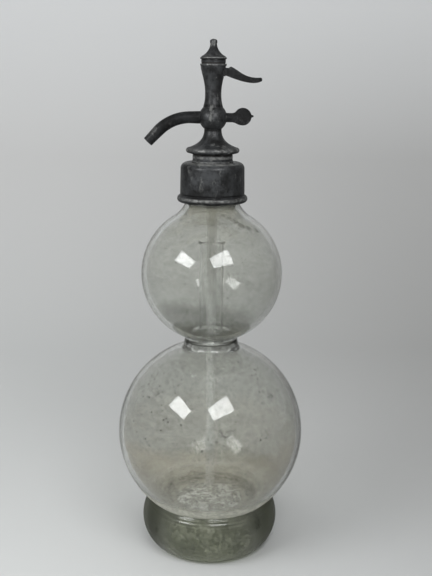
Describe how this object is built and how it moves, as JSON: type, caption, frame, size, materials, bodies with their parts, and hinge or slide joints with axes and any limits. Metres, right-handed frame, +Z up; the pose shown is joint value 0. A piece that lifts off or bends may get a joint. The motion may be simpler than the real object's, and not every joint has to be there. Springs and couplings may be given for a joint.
{
  "type": "soda siphon",
  "caption": "Double-globe glass soda siphon on a glass foot: pewter collar and screw-on head with curved spout, finger wing, spring valve and thumb lever; glass standpipe and dip tube inside.",
  "frame": {"origin": "centre of the foot, on the surface it stands on", "axes": "+Z up along the axis of the globes; the spout points along -X and the thumb lever along +X"},
  "size_m": [0.1582, 0.1582, 0.43],
  "materials": {
    "clear_glass": "blown, slightly hazy",
    "foot_glass": "thick, olive-grey",
    "pewter": "dark satin patina",
    "brass": "dull",
    "rubber": "matt",
    "leather": "matt",
    "cement": "matt",
    "spring_steel": "drawn wire"
  },
  "bodies": {
    "bottle": {"lower_globe": "clear_glass", "upper_globe": "clear_glass", "glass_neck": "clear_glass", "glass_foot": "foot_glass", "standpipe": "clear_glass", "collar": "pewter", "neck_cement": "cement", "lip_gasket": "rubber"},
    "washer": {"head_washer": "leather"},
    "head": {"bell_flange": "pewter", "valve_body": "pewter", "spout": "pewter", "finger_wing": "pewter", "top_cap": "pewter", "cap_washer": "leather", "lever_pin": "spring_steel", "spring_bush": "brass", "rod_packing": "leather", "gland_nut": "brass", "valve_seat": "brass", "tube_sleeve": "rubber", "tube_nut": "brass", "dip_tube": "clear_glass"},
    "valve": {"valve_rod": "brass", "valve_washer": "rubber", "washer_nut": "brass", "spring_collar": "brass", "lift_nut": "brass", "valve_spring": "spring_steel"},
    "lever": {"thumb_lever": "pewter"}
  },
  "joints": [
    {"name": "head_lift", "type": "slide", "parent": "bottle", "child": "washer", "axis": [0, 0, 1], "range_m": [0, 0.3]},
    {"name": "head_turn", "type": "hinge", "parent": "washer", "child": "head", "pos_m": [0, 0, 0.34], "axis": [0, 0, 1], "range_deg": [0, 1800]},
    {"name": "lever_press", "type": "hinge", "parent": "head", "child": "lever", "pos_m": [0.008, 0, 0.40497], "axis": [0, 1, 0], "range_deg": [0, 16], "stiffness_Nm_per_rad": 0.3, "springref_deg": -34.38},
    {"name": "valve_lift", "type": "slide", "parent": "head", "child": "valve", "axis": [0, 0, 1], "range_m": [0, 0.0023], "deforming": ["valve_spring"]}
  ],
  "couplings": [
    {"joint": "valve_lift", "follows": "lever_press", "m_per_rad": 0.008}
  ]
}
